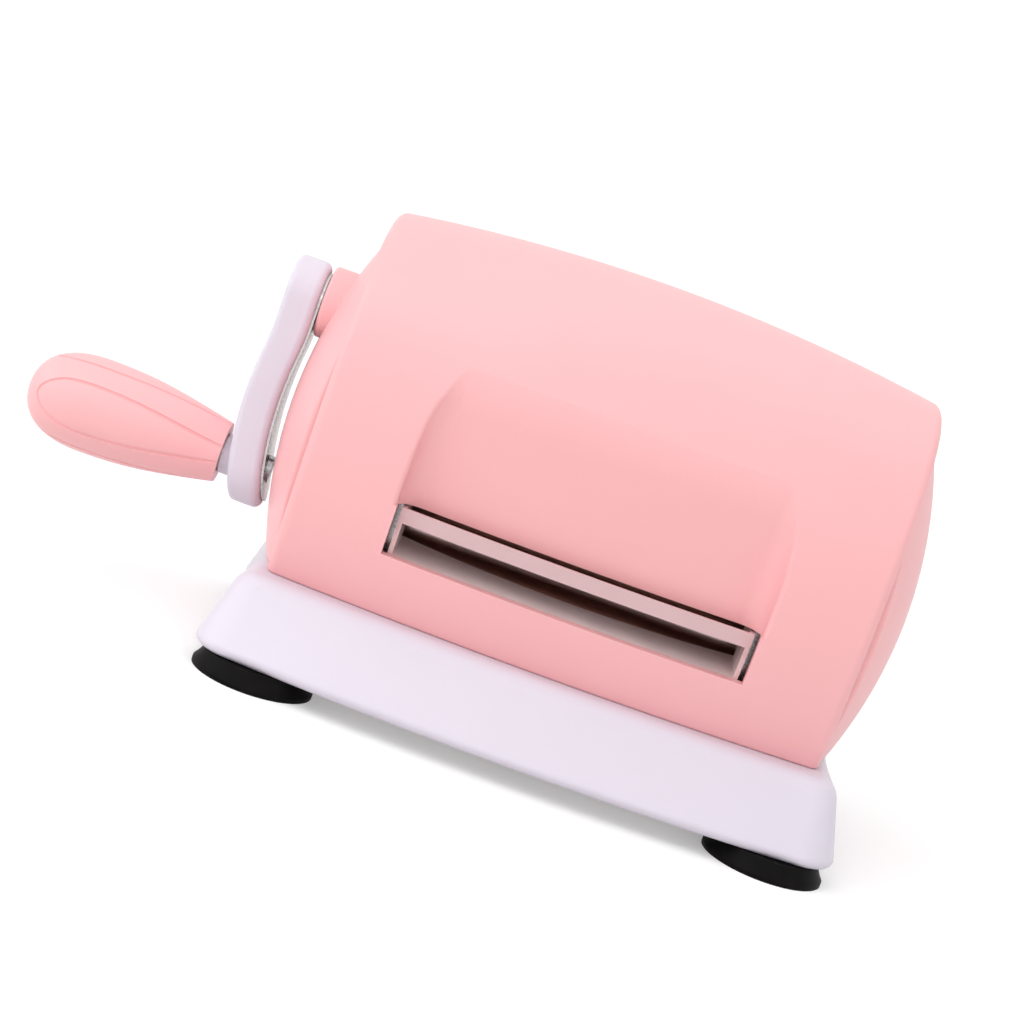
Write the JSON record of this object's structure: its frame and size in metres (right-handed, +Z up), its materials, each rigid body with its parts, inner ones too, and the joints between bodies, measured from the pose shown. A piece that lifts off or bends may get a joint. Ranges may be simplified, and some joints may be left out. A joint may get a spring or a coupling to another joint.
{
  "type": "die cutting and embossing machine",
  "caption": "Small hand cranked die cutting and embossing machine: barrel-shaped housing with a feed slot through it, geared rollers, a flared base on suction feet, side crank.",
  "frame": {"origin": "on the table, midway between the four suction feet", "axes": "+X along the rollers away from the crank, +Y from the front slot to the back, +Z up"},
  "size_m": [0.1979, 0.0958, 0.1042],
  "materials": {
    "pink_plastic": "satin",
    "white_plastic": "satin",
    "black_rubber": "satin",
    "zinc_steel": "satin",
    "polished_steel": "polished",
    "turned_steel": "satin",
    "bronze": "satin"
  },
  "bodies": {
    "housing": {"front_shell": "pink_plastic", "rear_shell": "pink_plastic", "left_end_cover": "pink_plastic", "right_end_cover": "pink_plastic", "base_shell": "white_plastic", "base_plate": "zinc_steel", "left_side_frame": "zinc_steel", "right_side_frame": "zinc_steel", "tie_rods": "zinc_steel", "tie_rod_screws": "zinc_steel", "frame_screws": "zinc_steel", "housing_screws": "zinc_steel", "cover_screws": "zinc_steel", "front_feed_tray": "polished_steel", "rear_feed_tray": "polished_steel", "feed_tray_screws": "zinc_steel", "roller_bushes": "bronze", "crank_bushes": "bronze", "suction_foot_front_left": "black_rubber", "suction_foot_front_right": "black_rubber", "suction_foot_rear_left": "black_rubber", "suction_foot_rear_right": "black_rubber", "foot_studs": "zinc_steel", "foot_nuts": "zinc_steel"},
    "crank": {"crank_shaft": "turned_steel", "crank_shaft_circlips": "turned_steel", "crank_pinion": "turned_steel", "crank_pinion_key": "turned_steel", "crank_arm_plate": "zinc_steel", "crank_arm_cover": "white_plastic", "crank_screw": "zinc_steel", "crank_washer": "zinc_steel", "handle_spindle": "turned_steel", "handle_screw": "zinc_steel", "handle_washer": "zinc_steel"},
    "handle": {"handle_grip": "pink_plastic", "handle_cap": "pink_plastic"},
    "upper_roll": {"upper_roller": "polished_steel", "upper_roller_circlips": "turned_steel", "drive_gear": "turned_steel", "drive_gear_key": "turned_steel", "upper_coupling_gear": "turned_steel", "upper_coupling_key": "turned_steel"},
    "lower_roll": {"lower_roller": "polished_steel", "lower_roller_circlip": "turned_steel", "lower_coupling_gear": "turned_steel", "lower_coupling_key": "turned_steel"}
  },
  "joints": [
    {"name": "crank_turn", "type": "hinge", "parent": "housing", "child": "crank", "pos_m": [0, 0, 0.07579], "axis": [1, 0, 0], "continuous": true},
    {"name": "upper_roller_turn", "type": "hinge", "parent": "housing", "child": "upper_roll", "pos_m": [0, 0, 0.048], "axis": [1, 0, 0], "continuous": true},
    {"name": "lower_roller_turn", "type": "hinge", "parent": "housing", "child": "lower_roll", "pos_m": [0, 0, 0.0246], "axis": [1, 0, 0], "continuous": true},
    {"name": "handle_spin", "type": "hinge", "parent": "crank", "child": "handle", "pos_m": [-0.1, 0, 0.03649], "axis": [1, 0, 0], "continuous": true}
  ],
  "couplings": [
    {"joint": "upper_roller_turn", "follows": "crank_turn", "ratio": -0.46154},
    {"joint": "lower_roller_turn", "follows": "crank_turn", "ratio": 0.46154}
  ]
}
